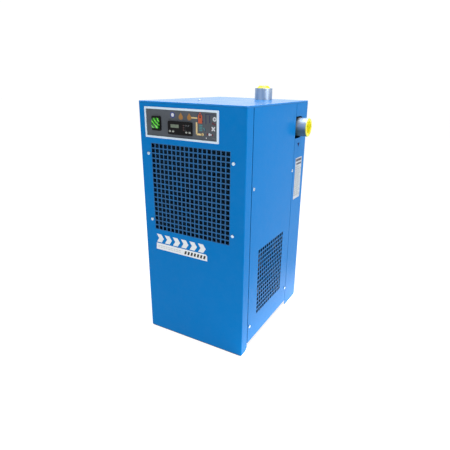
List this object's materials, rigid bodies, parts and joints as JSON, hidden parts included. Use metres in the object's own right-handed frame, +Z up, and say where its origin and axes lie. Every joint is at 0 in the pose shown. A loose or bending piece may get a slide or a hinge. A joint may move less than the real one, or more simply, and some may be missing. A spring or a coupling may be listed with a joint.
{
  "type": "refrigerated air dryer",
  "caption": "Floor-standing refrigerated compressed-air dryer in a blue sheet-metal cabinet, with punched grilles, a control panel and two plugged pipe stubs.",
  "frame": {"origin": "on the floor, midway between the four anchor holes in the feet", "axes": "+X to the right side with the inlet, +Y to the back, +Z up"},
  "size_m": [0.3842, 0.481, 0.787],
  "materials": {
    "blue_paint": "satin powder coat",
    "black_paint": "satin black paint",
    "galvanised": "galvanised sheet",
    "zinc": "bright zinc plate",
    "aluminium": "plain",
    "fins": "dark coated fins",
    "copper": "copper tube",
    "brass": "machined brass",
    "foam": "closed-cell foam",
    "rubber": "matt",
    "grey_plastic": "printed fascia",
    "pale_plastic": "pale blue-white",
    "black_plastic": "fine texture",
    "green_plastic": "lit green",
    "yellow_plastic": "bright yellow",
    "key_plastic": "light grey",
    "display": "grey-green window",
    "led": "small lamp",
    "printed_white": "printed film",
    "printed_dark": "printed film",
    "hose": "nylon tube"
  },
  "bodies": {
    "cabinet": {"base_frame": "black_paint", "front_cover": "blue_paint", "rear_cover": "blue_paint", "right_side_panel": "blue_paint", "left_side_panel": "blue_paint", "top_cover": "blue_paint", "cover_screws": "zinc", "front_decal": "printed_white", "side_labels": "printed_white", "panel_bezel": "pale_plastic", "panel_fascia": "grey_plastic", "switch_frame": "black_plastic", "controller_housing": "black_plastic", "controller_display": "display", "controller_leds": "led", "inlet_pipe": "zinc", "outlet_pipe": "zinc", "exchanger_core": "aluminium", "exchanger_jacket": "foam", "exchanger_stand": "galvanised", "drain_strainer": "brass", "drain_valve": "brass", "drain_coil": "black_plastic", "drain_spring": "zinc", "drain_hose": "hose", "drain_outlet": "brass", "compressor_shell": "black_paint", "compressor_motor": "galvanised", "compressor_cover": "black_plastic", "compressor_grommets": "rubber", "compressor_bolts": "zinc", "condenser_core": "fins", "condenser_plates": "galvanised", "condenser_bends": "copper", "fan_shroud": "galvanised", "fan_guard": "black_paint", "fan_motor": "black_paint", "filter_drier": "copper", "capillary_tube": "copper", "hot_gas_valve": "brass", "discharge_line": "copper", "liquid_line": "copper", "suction_line": "foam", "hot_gas_line": "copper", "electrical_plate": "galvanised", "terminal_block": "black_plastic", "run_capacitor": "aluminium", "wiring_loom": "black_plastic", "cable_gland": "black_plastic"},
    "rocker": {"switch_rocker": "green_plastic"},
    "key_1": {"controller_button_1": "key_plastic"},
    "key_2": {"controller_button_2": "key_plastic"},
    "key_3": {"controller_button_3": "key_plastic"},
    "key_4": {"controller_button_4": "key_plastic"},
    "inlet_cap": {"inlet_plug": "yellow_plastic"},
    "outlet_cap": {"outlet_plug": "yellow_plastic"},
    "drain_handle": {"drain_lever": "zinc"},
    "armature": {"drain_plunger": "zinc"},
    "fan": {"fan_blades": "aluminium", "fan_shaft": "zinc"}
  },
  "joints": [
    {"name": "switch_rock", "type": "hinge", "parent": "cabinet", "child": "rocker", "pos_m": [-0.1123, -0.222, 0.6835], "axis": [1, 0, 0], "range_deg": [0, 18]},
    {"name": "key_1_press", "type": "slide", "parent": "cabinet", "child": "key_1", "axis": [0, 1, 0], "range_m": [0, 0.0008], "stiffness_N_per_m": 500},
    {"name": "key_2_press", "type": "slide", "parent": "cabinet", "child": "key_2", "axis": [0, 1, 0], "range_m": [0, 0.0008], "stiffness_N_per_m": 500},
    {"name": "key_3_press", "type": "slide", "parent": "cabinet", "child": "key_3", "axis": [0, 1, 0], "range_m": [0, 0.0008], "stiffness_N_per_m": 500},
    {"name": "key_4_press", "type": "slide", "parent": "cabinet", "child": "key_4", "axis": [0, 1, 0], "range_m": [0, 0.0008], "stiffness_N_per_m": 500},
    {"name": "inlet_plug_pull", "type": "slide", "parent": "cabinet", "child": "inlet_cap", "axis": [1, 0, 0], "range_m": [0, 0.06]},
    {"name": "outlet_plug_pull", "type": "slide", "parent": "cabinet", "child": "outlet_cap", "axis": [0, 0, 1], "range_m": [0, 0.06]},
    {"name": "drain_lever_turn", "type": "hinge", "parent": "cabinet", "child": "drain_handle", "pos_m": [0.11, 0.139, 0.252], "axis": [0, 1, 0], "range_deg": [0, 90]},
    {"name": "drain_plunger_slide", "type": "slide", "parent": "cabinet", "child": "armature", "axis": [0, -1, 0], "range_m": [0, 0.0025], "stiffness_N_per_m": 300, "deforming": ["drain_spring"]},
    {"name": "fan_spin", "type": "hinge", "parent": "cabinet", "child": "fan", "pos_m": [-0.0045, -0.128, 0.494], "axis": [0, 1, 0], "continuous": true}
  ]
}
